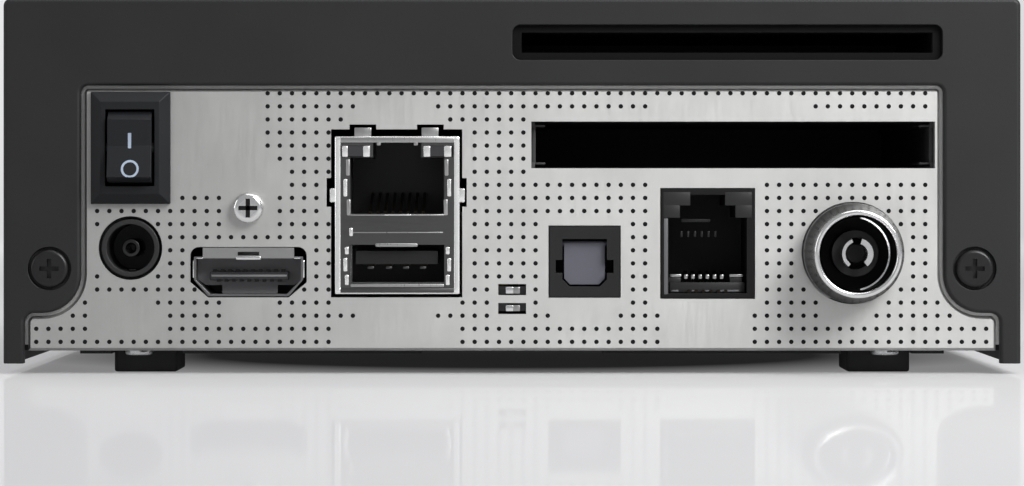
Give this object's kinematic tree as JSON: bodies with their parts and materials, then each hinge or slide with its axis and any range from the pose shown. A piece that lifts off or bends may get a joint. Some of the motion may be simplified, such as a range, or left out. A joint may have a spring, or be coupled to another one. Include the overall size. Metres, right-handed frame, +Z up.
{
  "type": "satellite television receiver",
  "caption": "Small dark table-top television receiver with a flared silver socket panel, power rocker, card slots and a push-on aerial socket at the back.",
  "frame": {"origin": "on the table, under the centre of the overall box (cover, aerial socket and front button)", "axes": "+Z up, +Y towards the front window, so the socket panel faces -Y; +X to the right seen from behind"},
  "size_m": [0.137, 0.15, 0.0506],
  "materials": {
    "cover_plastic": "satin",
    "panel_steel": "zinc plated",
    "floor_steel": "powder coat",
    "foot_rubber": "matte",
    "black_screw": "black zinc",
    "bright_screw": "nickel plated",
    "front_plastic": "satin",
    "window_plastic": "polished",
    "button_plastic": "satin",
    "board_laminate": "solder mask",
    "chip_resin": "moulded",
    "pad_silicone": "matte",
    "sink_aluminium": "anodised",
    "can_aluminium": "sleeved",
    "socket_plastic": "moulded",
    "socket_steel": "nickel plated",
    "contact_gold": "gold flash",
    "brass_post": "turned",
    "lamp_window": "translucent",
    "flap_plastic": "moulded",
    "insulator_plastic": "moulded",
    "wire_cover": "extruded",
    "sensor_plastic": "moulded"
  },
  "bodies": {
    "case": {"top_cover": "cover_plastic", "rear_panel": "panel_steel", "base_plate": "floor_steel", "feet": "foot_rubber", "cover_screws": "black_screw", "panel_screw": "bright_screw", "bottom_screws": "bright_screw", "board_screws": "bright_screw", "front_bezel": "front_plastic", "front_window": "window_plastic", "button_switch": "socket_plastic", "front_board": "board_laminate", "ir_receiver": "sensor_plastic", "status_led": "lamp_window", "front_header": "socket_plastic", "main_board": "board_laminate", "card_board": "board_laminate", "board_standoffs": "brass_post", "card_standoffs": "brass_post", "ci_cage": "socket_steel", "ci_header": "socket_plastic", "card_reader": "socket_plastic", "reader_contacts": "contact_gold", "reader_bracket": "socket_steel", "processor": "chip_resin", "thermal_pad": "pad_silicone", "heat_sink": "sink_aluminium", "memory_chips": "chip_resin", "capacitors": "can_aluminium", "inductors": "chip_resin", "tuner_can": "socket_steel", "rf_shell": "bright_screw", "rf_insulator": "insulator_plastic", "rf_contact": "bright_screw", "dc_jack_body": "socket_plastic", "dc_jack_pin": "bright_screw", "hdmi_shell": "socket_steel", "hdmi_tongue": "socket_plastic", "hdmi_contacts": "contact_gold", "lan_usb_shell": "socket_steel", "lan_insert": "socket_plastic", "lan_contacts": "contact_gold", "lan_leds": "lamp_window", "usb_tongue": "socket_plastic", "usb_contacts": "contact_gold", "ground_clip": "socket_steel", "optical_body": "socket_plastic", "optical_emitter": "sensor_plastic", "serial_jack_body": "socket_plastic", "serial_contacts": "contact_gold", "switch_body": "socket_plastic", "switch_terminals": "brass_post", "switch_wires": "wire_cover", "switch_plug": "insulator_plastic", "panel_bracket": "socket_steel"},
    "rocker": {"switch_rocker": "button_plastic"},
    "flap": {"optical_shutter": "flap_plastic"},
    "button": {"standby_button": "button_plastic"}
  },
  "joints": [
    {"name": "power_rocker", "type": "hinge", "parent": "case", "child": "rocker", "pos_m": [-0.05135, -0.06595, 0.03045], "axis": [1, 0, 0], "range_deg": [0, 16]},
    {"name": "optical_flap", "type": "hinge", "parent": "case", "child": "flap", "pos_m": [0.00979, -0.06395, 0.01752], "axis": [1, 0, 0], "range_deg": [0, 80], "stiffness_Nm_per_rad": 0.00002, "springref_deg": -22.92},
    {"name": "standby_key", "type": "slide", "parent": "case", "child": "button", "axis": [0, -1, 0], "range_m": [0, 0.0006], "stiffness_N_per_m": 200, "springref_m": -0.0005}
  ]
}
